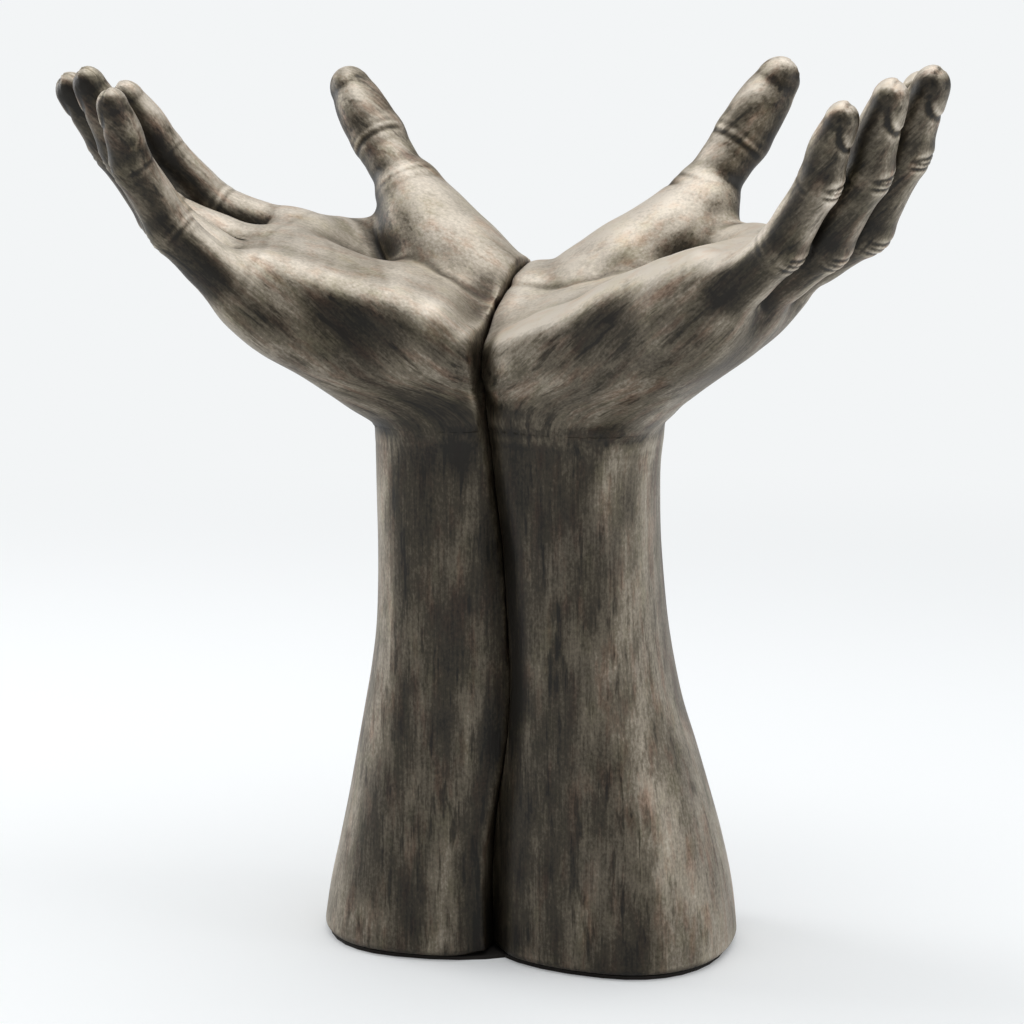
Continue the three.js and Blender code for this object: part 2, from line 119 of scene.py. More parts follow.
def smoothUnion(a, b, soft):
    # the lower of two distances, lowered a little more where they are nearly equal
    near = np.clip(1 - np.abs(a - b) / soft, 0, 1)
    return np.minimum(a, b) - near * near * soft * 0.25


def smoothCut(a, b, soft):
    # the higher of two distances, raised a little more where they are nearly equal
    return -smoothUnion(-a, -b, soft)


def addForm(volume, low, high, distance, soft):
    # works out one form's distance inside its own box and joins it to what is there
    part = []
    for i in range(3):
        axis = volume["axes"][i]
        part.append(slice(int(np.searchsorted(axis, low[i])), int(np.searchsorted(axis, high[i]))))
    grids = np.meshgrid(*[volume["axes"][i][part[i]] for i in range(3)], indexing="ij")
    points = np.stack([grid.ravel() for grid in grids], -1)
    if len(points) == 0:
        return
    value = distance(points).reshape(grids[0].shape).astype(np.float32)
    there = volume["value"][tuple(part)]
    volume["value"][tuple(part)] = smoothUnion(there, value, soft)


def sectionDistance(side, rise, over, half, height, power, cap):
    # distance to a rounded section: how far outside the oval, scaled back to millimetres
    x, y, z = np.abs(side / half), np.abs(rise / height), np.abs(over) / cap
    if power == 2:
        reach = np.sqrt(x * x + y * y + z * z)
    else:
        reach = (x ** power + y ** power + z ** power) ** (1 / power)
    slope = np.sqrt((x / half) ** 2 + (y / height) ** 2 + (z / cap) ** 2)
    return reach * (reach - 1) / np.maximum(slope, 1e-4)


def sweptForm(volume, rows, soft, power=2.0, cap=12.0):
    # a section carried along a path. Each row is centre, across, above, half width, height above
    # and below, arch; between two rows everything changes evenly.
    for a, b in zip(rows[:-1], rows[1:]):
        corners = []
        for row in (a, b):
            for s in (-1, 1):
                for h in (row[10] + row[12], -row[11]):
                    corners.append(row[:3] + s * row[9] * row[3:6] + h * row[6:9])
        corners = np.array(corners)
        margin = 9.0

        def distance(points, a=a, b=b):
            chord = b[:3] - a[:3]
            length = np.linalg.norm(chord)
            offset = points - a[:3].astype(np.float32)
            along = offset @ (chord / length)
            t = np.clip(along / length, 0, 1)

            def mixed(u, v):
                qu = offset @ u - t * (chord @ u)
                qv = offset @ v - t * (chord @ v)
                return qu + t * (qv - qu)

            side = mixed(a[3:6], b[3:6])
            rise = mixed(a[6:9], b[6:9])
            half, up, down, arch = (a[i] + t * (b[i] - a[i]) for i in (9, 10, 11, 12))
            rise = rise - arch * np.minimum((side / half) ** 2, 1.3)
            height = np.where(rise > 0, up, down)
            return sectionDistance(side, rise, along - t * length, half, height, power, cap)

        addForm(volume, corners.min(0) - margin, corners.max(0) + margin, distance, soft)


def ballChain(volume, centres, radii, soft):
    # round cones from ball to ball
    centres = np.asarray(centres, float)
    for a, b, ra, rb in zip(centres[:-1], centres[1:], radii[:-1], radii[1:]):
        margin = max(ra, rb) + soft + 3

        def distance(points, a=a, b=b, ra=ra, rb=rb):
            chord = b - a
            offset = points - a.astype(np.float32)
            t = np.clip(offset @ chord / (chord @ chord), 0, 1)
            return np.linalg.norm(offset - t[:, None] * chord, axis=1) - (ra + (rb - ra) * t)

        addForm(volume, np.minimum(a, b) - margin, np.maximum(a, b) + margin, distance, soft)


def surfaceOf(volume):
    # one point in every cell that the surface passes through, at the mean of its crossings,
    # and one face across every grid line that it cuts
    value = volume["value"]
    inside = value < 0
    cellShape = tuple(n - 1 for n in value.shape)
    total = np.zeros(cellShape, np.int8)
    for corner in np.ndindex(2, 2, 2):
        part = tuple(slice(start, start + length) for start, length in zip(corner, cellShape))
        total += inside[part]
    crossed = (total > 0) & (total < 8)
    number = np.full(crossed.shape, -1, np.int64)
    cells = np.argwhere(crossed)
    number[crossed] = np.arange(len(cells))
    sums = np.zeros((len(cells), 3))
    counts = np.zeros(len(cells))
    for axis in range(3):
        others = [n for n in range(3) if n != axis]
        for p in (0, 1):
            for q in (0, 1):
                start = cells.copy()
                start[:, others[0]] += p
                start[:, others[1]] += q
                end = start.copy()
                end[:, axis] += 1
                first = value[tuple(start.T)]
                second = value[tuple(end.T)]
                cut = (first < 0) != (second < 0)
                place = start[cut].astype(float)
                place[:, axis] += first[cut] / (first[cut] - second[cut])
                sums[cut] += place
                counts[cut] += 1
    points = sums / counts[:, None] * clay["step"] + np.array(clay["low"])
    faces = []
    for axis in range(3):
        b, c = (axis + 1) % 3, (axis + 2) % 3
        low = [slice(None)] * 3
        high = [slice(None)] * 3
        low[axis] = slice(0, -1)
        high[axis] = slice(1, None)
        start, end = inside[tuple(low)], inside[tuple(high)]
        for found, turned in ((start & ~end, False), (~start & end, True)):
            edge = np.argwhere(found)
            edge = edge[(edge[:, b] > 0) & (edge[:, c] > 0)]
            stepB, stepC = np.eye(3, dtype=int)[b], np.eye(3, dtype=int)[c]
            ring = [edge, edge - stepB, edge - stepB - stepC, edge - stepC]
            quad = np.stack([number[tuple(corner.T)] for corner in ring], -1)
            faces.append(quad[:, ::-1] if turned else quad)
    return points, np.concatenate(faces)


# Forearms

armShape = {
    "seamHeight": 186.0,           # wrist crease, where hand and forearm castings meet
    "footHeight": 1.5,             # the felt is under it
    "footRound": 3.0,
    "innerReach": 18.0,
    "depth": (42.9, 29.0),         # half the front to back depth at the floor and at the wrist
    "wristY": -12.0,
    "reach": {                     # height and distance from the middle to the outer side
        "left": [
            (0, 75), (5, 75), (29, 70.4), (54, 63.8), (80, 56),
            (105, 50.9), (137, 48), (156, 47.3), (180, 48.4), (186, 49.5),
        ],
        "right": [
            (0, 75), (2, 74.6), (25, 68.9), (45, 64.2), (72, 58.5),
            (98, 53.3), (117, 50.6), (142, 49.8), (160, 50.0), (186, 50.2),
        ],
    },
    "meeting": [               # height and offset of the line between the arms
        (0, -6), (15, -6.4), (28, -6.4), (40, -5.7), (50, -4.5), (60, -2.6), (70, -0.5), (80, 1.1),
        (90, 1.9), (101, 2.2), (112, 1.8), (130, 0.5), (149, -1.5), (168, -3.9), (186, -5.8),
        (204, -6.8), (223, -6.6), (238, -4), (251, -1),
    ],
    "gap": 0.1,
}
wristCentre = np.array([25.0, -12.0, 186.0])


def armRows(name):
    # ovals up the forearm: the outer side follows the table of reach, and the depth shrinks by
    # the height's share to the power 0.85
    rows = []
    low, high = armShape["depth"]
    for z in np.linspace(-5, armShape["seamHeight"] - 6, 12):
        place = max(z, 0) / armShape["seamHeight"]
        reach = interpolate(armShape["reach"][name], z)
        depth = low + (high - low) * place ** 0.85
        centre = [reach / 2, armShape["wristY"] * place ** 0.9, z]
        rows.append(centre + [0, 1, 0, -1, 0, 0, depth, reach / 2 + armShape["innerReach"], reach / 2, 0])
    return rows


# Hands: along the metacarpals, toward the thumb, out of the palm

fingerShapes = {
    "index": {"knuckle": (78, 25.5, -1), "bones": (38, 27, 28), "width": 16.5},
    "middle": {"knuckle": (83.5, 3, -1.5), "bones": (41, 30, 28), "width": 16.6},
    "ring": {"knuckle": (78, -13.5, 0), "bones": (39, 29, 30), "width": 16.2},
    "little": {"knuckle": (79, -29, 5), "bones": (32.5, 25.5, 26), "width": 15},
}
thumbShape = {"root": (33, 33, 24.5), "bones": (38, 23.5, 30), "width": 20.5}
poses = {
    "left": {
        "side": 1, "palm": (39.6, 19.9, 19.1),
        "ballDrop": 0, "webDrop": 1.5, "backTrim": 0, "palmTrim": 1, "heelTrim": 0,
        # painted light from above on this hand's up-facing parts, added to their rubbing
        "topLightAndRub": 0.13,
        "index": (-8.8, -7.5, 15, 26.5), "middle": (-6, -13.3, 31.5, 11),
        "ring": (-5.4, -8.5, 24, 17), "little": (-3.5, -3.8, 19.5, 14),
        "thumb": {"out": 36, "up": 11, "roll": 70, "bends": (0, 7, 10.5)},
        "outerCrest": [            # crest along the little finger side of the palm
            (13, -24, 35, 8), (24, -24, 30.5, 8), (34, -23.5, 26.4, 8), (47, -22.5, 24, 8),
            (58, -22, 21, 8), (70, -22.5, 17, 8), (82, -23.5, 13, 7.5), (90, -27, 9, 6.5),
        ],
        "outerFace": [             # the flank under that crest
            (12, -21, 27, 10), (24, -20.5, 22.5, 10), (36, -20.4, 17, 10),
            (49, -23, 13.8, 10), (65, -25.7, 11, 10), (80, -26, 7.5, 9),
        ],
        "cushion": [               # middle of the palm
            (14, 0, 24, 14), (26, 0, 19, 14), (38, 1, 13.5, 14), (50, 0, 10.5, 14),
            (60, 0, 7, 14), (70, 0, 3, 14), (78, 0, -1, 13),
        ],
    },
    "right": {
        "side": -1, "palm": (40.3, 9.7, 26.1),
        "ballDrop": 1.5, "webDrop": 8, "backTrim": 3, "palmTrim": 3, "heelTrim": 5,
        # painted light from above on this hand's up-facing parts, added to their rubbing
        "topLightAndRub": -0.03,
        "index": (-3.5, -20.8, 31.3, 15.5), "middle": (-7, -16, 38, 4),
        "ring": (-1.5, -5.8, 28.5, 11), "little": (-3.7, 4.6, 21, 20),
        "thumb": {"out": 29.7, "up": 2.7, "roll": 70, "bends": (0, 2.2, 3.6)},
        "outerCrest": [
            (14, -18.5, 36, 8), (26, -17, 35.5, 8), (38, -17, 30.4, 8), (50, -18.4, 23.2, 8),
            (60.5, -19, 18.4, 8), (70, -19.8, 13.6, 8), (80, -21.5, 10, 7.5), (88, -26.5, 6.4, 6.5),
        ],
        "outerFace": [
            (12, -16, 33, 10), (24, -17, 27, 10), (37, -18.5, 17, 10),
            (50, -21.5, 11.5, 10), (63.5, -24, 7.8, 10), (78, -26.5, 4.5, 9),
        ],
        "cushion": [
            (14, 2, 22.5, 13), (26, 2, 22.5, 14), (38, 1, 18, 14), (50, 0, 10, 14),
            (60, 0, 5.5, 14), (70, 0, 1.5, 14), (78, 0, -2, 13),
        ],
    },
}
# half width of a digit along it: place in bones from the knuckle, share of the finger's width
fingerGirth = softTable([
    (-0.6, 0.3), (-0.3, 0.46), (0, 0.55), (0.3, 0.55), (0.7, 0.51), (0.93, 0.54),
    (1.05, 0.54), (1.25, 0.5), (1.6, 0.465), (1.85, 0.47), (2, 0.475), (2.2, 0.45),
    (2.5, 0.43), (2.75, 0.38), (2.9, 0.32), (3.1, 0.24),
], 0.06)
thumbGirth = softTable([
    (0.1, 0.7), (0.3, 0.7), (0.7, 0.6), (1, 0.53), (1.35, 0.46), (1.8, 0.46), (2, 0.48), (2.3, 0.475),
    (2.55, 0.44), (2.8, 0.36), (2.95, 0.3), (3.1, 0.24),
], 0.06)
# the tip leans to the nail side: place where that starts, then shares of the width
tipShape = {"from": 2.25, "lean": 0.11, "short": 0.38, "point": 1.2}
# how much fuller each bone is between its joints, below and above, and how much the nail's back loses
digitSwell = {"under": (0.07, 0.07, 0.1), "over": (0.24, -0.02, -0.05), "nail": 0.06}


def palmFrame(pose):
    # turned about the upright axis, lifted at the wrist, then tilted about its own length
    lift, turn, tilt = (math.radians(angle) for angle in pose["palm"])
    turned = Matrix.Rotation(-turn, 3, "Z")
    lifted = turned @ Matrix.Rotation(-lift, 3, "Y")
    return np.array(lifted @ Matrix.Rotation(tilt, 3, "X"))


def boneChain(root, ahead, toward, bones, bends):
    # joints of a digit that bends toward one side, and the frame of each bone
    joints, ways, inwards = [np.asarray(root, float)], [], []
    total = 0
    for bone, bend in zip(bones, bends):
        total += math.radians(bend)
        ways.append(math.cos(total) * ahead + math.sin(total) * toward)
        inwards.append(math.cos(total) * toward - math.sin(total) * ahead)
        joints.append(joints[-1] + bone * ways[-1])
    hinge = unit(np.cross(toward, ahead))
    return {"joints": joints, "ways": ways, "inwards": inwards, "bones": bones, "hinge": hinge}


def fingerLine(pose, name):
    # knuckle in the palm's frame, spread sideways, then three bones that bend by the pose's angles
    shape = fingerShapes[name]
    turn = palmFrame(pose)
    spread, *bends = pose[name]
    spread = math.radians(spread)
    root = wristCentre + turn @ np.array(shape["knuckle"])
    ahead = turn @ np.array([math.cos(spread), math.sin(spread), 0])
    line = boneChain(root, ahead, turn[:, 2], shape["bones"], bends)
    line.update(width=shape["width"], girth=fingerGirth, flat=0.95, start=-0.6)
    return line


def thumbLine(pose):
    # the same for the thumb, which stands out from the palm and rolls about its own length
    turn = palmFrame(pose)
    out, up, roll = (math.radians(pose["thumb"][key]) for key in ("out", "up", "roll"))
    ahead = turn @ np.array([math.cos(up) * math.cos(out), math.cos(up) * math.sin(out), math.sin(up)])
    aside = unit(np.cross(ahead, turn[:, 2]))
    toward = math.cos(roll) * np.cross(aside, ahead) + math.sin(roll) * aside
    root = wristCentre + turn @ np.array(thumbShape["root"])
    line = boneChain(root, ahead, toward, thumbShape["bones"], pose["thumb"]["bends"])
    line.update(width=thumbShape["width"], girth=thumbGirth, flat=0.9, start=0.1)
    return line


def digitPlace(points, line):
    # for each point the nearest bone: place counted in bones, sideways, toward the palm, and the
    # distance to the digit's skin. Between joints the underside is padded and the back is flatter.
    best = np.full(len(points), 1e6)
    nearest = np.full(len(points), 1e6)
    found = np.zeros((4, len(points)))
    tip = tipShape["short"] * line["width"]
    for i in range(3):
        offset = points - line["joints"][i]
        bone = line["bones"][i]
        along = offset @ line["ways"][i]
        low = line["start"] * bone if i == 0 else 0
        high = bone - tip if i == 2 else bone
        t = np.clip(along, low, high)
        place = i + t / bone
        half = line["width"] * np.interp(place, *line["girth"])
        side = offset @ line["hinge"]
        lean = tipShape["lean"] * line["width"] * ease(place, tipShape["from"], 3)
        inward = offset @ line["inwards"][i] + lean
        swell = np.sin(np.pi * np.clip(place - i, 0, 1)) ** 2
        under = 1 + digitSwell["under"][i] * swell
        over = 1 + digitSwell["over"][i] * swell - digitSwell["nail"] * ease(place, 2.3, 2.9)
        height = half * line["flat"] * np.where(inward > 0, under, over)
        end = np.minimum(half, height) * (tipShape["point"] if i == 2 else 1)
        distance = sectionDistance(side, inward, along - t, half, height, 2, end)
        closer = distance < nearest
        nearest = np.minimum(nearest, distance)
        best = smoothUnion(best, distance, 2.2)
        shown = i + (along if i == 2 else t) / bone
        found = np.where(closer, np.stack([shown, side / half, inward / height, half]), found)
    return {"place": found[0], "side": found[1], "inward": found[2], "half": found[3], "distance": best}


handShape = {
    # turned from forearm to palm, along, toward thumb, out of palm, half width, palm side, back side
    "rows": [
        (0.5, 12, 0, 8, 30, 36, 22), (0.85, 25, 0, 8, 33, 28, 23), (1, 40, 0, 5, 35.5, 19, 20),
        (1, 57, 0, 3, 37.5, 13, 19), (1, 72, -2, 1, 37.5, 11, 18), (1, 83, -4, 0, 34.5, 9, 15.5),
    ],
    "arch": 3.0,
    "thumbBall": [
        (-8, 12, 22, 7), (-3, 16, 27, 13), (7, 21, 30, 17), (20, 27, 29.5, 19.5), (35, 34, 27, 19.5),
        (50, 42.5, 26.5, 16), (62, 50, 27.5, 12),
    ],
    "thumbWeb": [(42, 38, 20, 10), (58, 41, 15, 10.5), (70, 36, 7, 10), (82, 29, 0, 8.5)],
    "heelSaddle": [
        (4, -38, 203, 6), (3, -31, 209, 10), (2, -15, 216, 13), (1, 0, 223, 14), (1, 11, 226, 13),
        (3, 20, 219, 8),
    ],
    "tendons": [                   # from each knuckle back toward the wrist
        [(84, 25.5, -7, 8.5), (72, 24, -8, 6), (40, 14, -8, 4)],
        [(88, 3, -7.5, 9), (76, 3, -9, 6), (42, 2, -9, 4)],
        [(83, -13.5, -6, 8.5), (71, -12, -8, 6), (40, -8, -8, 4)],
        [(82, -28.5, 0, 8), (70, -27, -2, 6), (42, -20, -4, 4)],
    ],
    # at the roots of the fingers
    "pads": [(77, -27, 8, 8), (79, -11, 4, 8.5), (81, 6, 3, 8.5), (78, 23, 4, 8.5)],
}


def handRows(pose):
    # ovals from the wrist to the knuckles: each is turned part of the way from the wrist's frame
    # to the palm's, and trimmed by the pose
    turn = palmFrame(pose)
    palm = Matrix(turn.tolist()).to_quaternion()
    wrist = Matrix(((0, 0, -1), (0, 1, 0), (1, 0, 0))).to_quaternion()
    rows = []
    for turned, along, shift, rise, half, up, down in handShape["rows"]:
        facing = np.array(wrist.slerp(palm, turned).to_matrix())
        centre = wristCentre + turn @ np.array([along, shift, rise])
        trim = ease(along, 20, 60)
        up = up - pose["palmTrim"] * trim - pose["heelTrim"] * (1 - ease(along, 20, 40))
        down = down - pose["backTrim"]
        rows.append([*centre, *facing[:, 1], *facing[:, 2], half, up, down, handShape["arch"]])
    return rows


def buildPalm(name):
    # swept ovals up the forearm and along the palm, and chains of balls for its mounds, crests,
    # cushion and tendons, all joined softly
    pose = poses[name]
    turn = palmFrame(pose)
    volume = newVolume()
    inner = wristCentre[0] + armShape["innerReach"]
    outer = interpolate(armShape["reach"][name], armShape["seamHeight"]) - wristCentre[0]
    wristRow = [*wristCentre, 0, 1, 0, -1, 0, 0, armShape["depth"][1], inner, outer, 0]
    rows = splineRows(armRows(name) + [wristRow] + handRows(pose), 110)
    sweptForm(volume, rows, 1.0, power=2.2, cap=7.0)

    def addChain(rows, drop=0, kind="firm"):
        table = np.array(rows, float)
        centres = (table[:, :3] - [0, 0, drop]) @ turn.T + wristCentre
        ballChain(volume, centres, table[:, 3], clay["chainSoftness"][kind])

    addChain(handShape["thumbBall"], pose["ballDrop"])
    addChain(handShape["thumbWeb"], pose["webDrop"])
    saddle = np.array(handShape["heelSaddle"], float)
    ballChain(volume, saddle[:, :3], saddle[:, 3], clay["chainSoftness"]["firm"])
    addChain(pose["cushion"], 0, "cushion")
    between = [np.add(row, other) / 2 for row, other in zip(pose["cushion"], pose["outerCrest"])]
    addChain(between, 0.5, "broad")
    addChain(pose["outerFace"], 0, "broad")
    addChain(pose["outerCrest"])
    for tendon in handShape["tendons"]:
        addChain(tendon, -pose["backTrim"])
    addChain(handShape["pads"], pose["palmTrim"] - 1)
    return volume


def buildDigits(pose):
    # the thumb and the fingers, each worked out in the box round its joints
    volume = newVolume()
    lines = {key: fingerLine(pose, key) for key in fingerShapes}
    lines["thumb"] = thumbLine(pose)
    margin = 18
    for key, line in lines.items():
        root = line["joints"][0] + line["start"] * line["bones"][0] * line["ways"][0]
        ends = np.array(line["joints"] + [root])
        low, high = ends.min(0) - margin, ends.max(0) + margin
        soft = clay["digitSoftness"]["thumb" if key == "thumb" else "finger"]
        addForm(volume, low, high, lambda points: digitPlace(points, line)["distance"], soft)
    return volume, lines


def partArms(volume, pose):
    # both arms rounded where they meet, joined over a filled valley, and cut by a hairline; then
    # the foot is cut off with a rounded edge
    x, y, z = np.meshgrid(*volume["axes"], indexing="ij", sparse=True)
    meeting = pose["side"] * interpolate(armShape["meeting"], z) + armShape["gap"] / 2
    rounding = interpolate(clay["grooveSoftness"], z)
    own = smoothCut(volume["value"], meeting - x, rounding)
    other = smoothCut(volume["value"], x - meeting, rounding)
    joined = smoothUnion(own, other, interpolate(clay["valleySoftness"], z))
    parted = smoothCut(joined, meeting - x, clay["hairline"])
    volume["value"] = smoothCut(parted, armShape["footHeight"] - z, armShape["footRound"])


def buildClay(name):
    # one arm in the +X frame: the palm's volume and the digits' in a soft union, parted from the
    # other arm and turned into a surface
    body = buildPalm(name)
    digits, lines = buildDigits(poses[name])
    body["value"] = smoothUnion(body["value"], digits["value"], clay["webSoftness"])
    partArms(body, poses[name])
    points, faces = surfaceOf(body)
    return points, faces, lines


# Surface work: creases, wrinkles, nails and hollows pressed into the clay

def normalsOf(points, faces):
    # the sum of the normals of the faces round each point, made one long
    p = points[faces]
    normal = np.cross(p[:, 2] - p[:, 0], p[:, 3] - p[:, 1])
    total = np.zeros_like(points)
    for corner in range(4):
        for axis in range(3):
            total[:, axis] += np.bincount(faces[:, corner], normal[:, axis], len(points))
    return total / np.maximum(np.linalg.norm(total, axis=1), 1e-9)[:, None]


def smoothed(values, faces, rounds):
    # every point moves halfway to the mean of its neighbours, round after round
    a = faces.ravel()
    b = np.roll(faces, -1, axis=1).ravel()
    count = np.bincount(a, minlength=len(values)).astype(float)
    values = values.copy()
    for _ in range(rounds):
        if values.ndim == 1:
            mean = np.bincount(a, values[b], len(values)) / count
        else:
            sums = [np.bincount(a, values[b, i], len(values)) for i in range(values.shape[1])]
            mean = np.stack(sums, -1) / count[:, None]
        values = 0.5 * values + 0.5 * mean
    return values


def lineDistance(points, path):
    # distance to a broken line, in the plane that the points are given in
    path = np.array(path, float)
    best = np.full(len(points), 1e6)
    for a, b in zip(path[:-1], path[1:]):
        chord = b - a
        t = np.clip((points - a) @ chord / (chord @ chord), 0, 1)
        best = np.minimum(best, np.linalg.norm(points - a - t[:, None] * chord, axis=1))
    return best


marks = {
    # place in bones, width mm, depth mm
    "underside": [(0.96, 1.0, 0.2), (1.07, 0.9, 0.1), (1.97, 0.9, 0.17)],
    "thumbUnderside": [
        (0.62, 1.4, 0.3), (0.92, 1.2, 0.34), (1.08, 1.1, 0.2), (1.93, 1.3, 0.4), (2.06, 1.1, 0.14),
    ],
    "backWrinkles": [(1.0, (-2.6, 0.0, 2.4), 0.8, 0.4), (2.0, (-1.9, 0.1, 2.0), 0.75, 0.5)],
    # middle and half length in bones, half width as a share of the width, then mm
    "nail": {"centre": 2.82, "long": 0.3, "wide": 0.37, "proud": 0.2, "groove": 0.45},
    "palmLines": [
        {
            "path": [
                (74, 40), (67, 34), (60, 28.5), (54, 23), (47, 17), (35, 10), (26, 8), (18, 9), (8, 10),
            ],
            "width": 2.2,
            "depth": 0.65,
        },
        {
            "path": [(80, -36), (83, -30), (86, -14), (88.7, -1), (88.6, 6), (87, 22), (84, 34)],
            "width": 1.5,
            "depth": 0.11,
        },
        {"path": [(76, 12), (68, 0), (64, -14), (62, -30)], "width": 1.8, "depth": 0.1},
        {"path": [(66, 33), (60, 16), (53, 0), (46, -14)], "width": 1.8, "depth": 0.08},
    ],
    # height, width and depth in mm, and which way it bows
    "wristFolds": [(187.5, 1.8, 0.28, -1), (180.5, 1.5, 0.1, 1)],
}


def alongFold(points, line, place):
    # distance along the digit from a place, square to the way the skin folds at the joint nearest to it
    joint = 1 if place < 1.5 else 2
    fold = unit(line["ways"][joint - 1] + line["ways"][joint])
    bone = line["bones"][joint - 1 if place < joint else joint]
    return (points - line["joints"][joint]) @ fold - (place - joint) * bone


def pressDetails(points, normals, lines, pose):
    # how far each point moves along its normal: a bell curve of the distance to each crease, fold
    # and line, and a plateau with a groove round it for each nail
    turn = palmFrame(pose)
    local = (points - wristCentre) @ turn
    facing = normals @ turn
    push = np.zeros(len(points))
    digitShare = np.zeros(len(points))
    digitPaintAndShade = np.zeros(len(points))
    for key, line in lines.items():
        spot = digitPlace(points, line)
        mine = ease(-spot["distance"], -2.2, -0.6) * ease(spot["place"], 0.05, 0.3)
        digitShare = np.maximum(digitShare, mine)
        under = ease(spot["inward"], -0.1, 0.55)
        back = ease(-spot["inward"], 0.05, 0.5)
        bow = 1.2 * spot["side"] ** 2
        for place, width, depth in marks["thumbUnderside" if key == "thumb" else "underside"]:
            away = alongFold(points, line, place) + bow
            push -= mine * under * depth * np.exp(-((away / width) ** 2))
        for place, offsets, width, depth in marks["backWrinkles"]:
            for offset in offsets:
                away = alongFold(points, line, place) + offset - 0.6 * bow * np.sign(offset + 0.01)
                inner = ease(1.05 - np.abs(spot["side"]), 0, 0.4)
                push -= mine * back * inner * depth * np.exp(-((away / width) ** 2))
        # the nail is a slightly proud oval on the back of the last bone, with a groove round its root
        nail = marks["nail"]
        across = spot["side"] * spot["half"] / (nail["wide"] * line["width"])
        ahead = (spot["place"] - nail["centre"]) / nail["long"]
        reach = (np.abs(across) ** 2.6 + np.abs(ahead) ** 2.6) ** (1 / 2.6)
        nailBack = back * mine * ease(spot["place"], 2.2, 2.4)
        push += nailBack * nail["proud"] * (1 - ease(reach, 0.86, 1.02))
        push -= nailBack * nail["groove"] * np.exp(-(((reach - 1.08) / 0.13) ** 2))
        # dark paint stays in the sides between the fingers, deepened there by painted shade, and is rubbed
        # off their backs and pads; darker toward the tips
        flank = ease(np.abs(spot["side"]), 0.45, 0.95)
        digitPaintAndShade += mine * (0.1 - 0.34 * flank - 0.38 * ease(spot["place"], 2.6, 2.95))
    palmSide = ease(facing[:, 2], 0.1, 0.5) * (1 - digitShare) * ease(local[:, 0], -6, 4)
    for mark in marks["palmLines"]:
        away = lineDistance(local[:, :2], mark["path"])
        push -= palmSide * mark["depth"] * np.exp(-((away / mark["width"]) ** 2))
    # skin folds across the front and the outer side of the wrist
    around = ease(np.maximum(-normals[:, 1], normals[:, 0]), 0.2, 0.8)
    for height, width, depth, bow in marks["wristFolds"]:
        away = points[:, 2] - height - bow * 1.5 * np.cos(points[:, 0] / 14)
        furrow = np.exp(-((away / width) ** 2))
        roll = np.exp(-(((away - 2.2 * width) / (1.4 * width)) ** 2))
        strength = 0.6 + 0.4 * np.sin(points[:, 0] / 9 + height) * np.cos(points[:, 1] / 13)
        push += around * strength * depth * (0.6 * roll - furrow)
    return push, digitPaintAndShade


# Meshes

def splitAt(points, faces, height):
    # parts the surface at a height and closes both parts with a flat fan of faces
    above = points[faces][:, :, 2].mean(1) > height
    shared = np.intersect1d(faces[above], faces[~above])
    points = points.copy()
    points[shared, 2] = height
    parts = []
    for chosen in (faces[~above], faces[above]):
        a = chosen.ravel()
        b = np.roll(chosen, -1, axis=1).ravel()
        size = len(points)
        rim = ~np.isin(a * size + b, b * size + a)
        centre = points[a[rim]].mean(0)
        fan = np.stack([b[rim], a[rim], np.full(rim.sum(), size)], -1)
        used, packed = np.unique(np.concatenate([chosen.ravel(), fan.ravel()]), return_inverse=True)
        every = np.vstack([points, centre])
        quads = packed[:chosen.size].reshape(-1, 4)
        triangles = packed[chosen.size:].reshape(-1, 3)
        parts.append((every[used], quads, triangles, used))
    return parts


def makeMesh(name, points, quads, triangles, mirrored):
    # mm to metres; a mirrored arm has x and the order of its corners reversed
    points = points * 0.001
    if mirrored:
        points = points * [-1, 1, 1]
        quads, triangles = quads[:, ::-1], triangles[:, ::-1]
    mesh = bpy.data.meshes.new(name)
    mesh.vertices.add(len(points))
    mesh.vertices.foreach_set("co", points.astype(np.float32).ravel())
    corners = np.concatenate([quads.ravel(), triangles.ravel()]).astype(np.int32)
    mesh.loops.add(len(corners))
    mesh.loops.foreach_set("vertex_index", corners)
    starts = np.concatenate([np.arange(len(quads)) * 4, quads.size + np.arange(len(triangles)) * 3])
    mesh.polygons.add(len(starts))
    mesh.polygons.foreach_set("loop_start", starts.astype(np.int32))
    mesh.update(calc_edges=True)
    mesh.validate()
    mesh.polygons.foreach_set("use_smooth", np.ones(len(mesh.polygons), bool))
    mesh.set_sharp_from_angle(angle=math.radians(75))
    piece = bpy.data.objects.new(name, mesh)
    bpy.context.scene.collection.objects.link(piece)
    return piece


def addAttribute(piece, name, values, kind="FLOAT"):
    # one value or vector for each point, which the paint reads
    layer = piece.data.attributes.new(name, kind, "POINT")
    field = "value" if kind == "FLOAT" else "vector"
    layer.data.foreach_set(field, np.asarray(values, np.float32).ravel())


rubAndLight = {                        # how much silver the cloth leaves, with painted light from above, painted sheen and painted shade added: 0 none, 1 all
    # on the hand, by how far the surface looks up: painted light from above, together with the silver
    # rubbed on the tops
    "hand": [(-1, 0.44), (-0.5, 0.38), (-0.1, 0.24), (0.12, 0.18), (0.3, 0.33), (0.55, 0.68), (1, 0.84)],
    "arm": 0.19,
    "armOuterSheen": 0.3,               # more toward the outer side: painted sheen of the bright room, together with more rubbing there
    "armFoot": 0.05,
    "digit": -0.15,
    "valleyShade": (-0.15, 0.03),       # painted shade where the arms meet, and what the hands have besides
    "fine": (-0.14, 0.3),          # limits in mm of the hollows that hold dark paint
    "wide": (-1.3, 1.5),
}
smoothing = {                      # rounds of smoothing
    "forearm": 8,
    "palm": 40,                    # the whole hand but the digits, from the wrist up
    "fine": 6,                     # against these surfaces the hollows are measured
    "wide": 60,
    "cloth": 25,                   # the smoothed shape whose upward facing sets the painted light from above on the hand, together with its rubbing
}


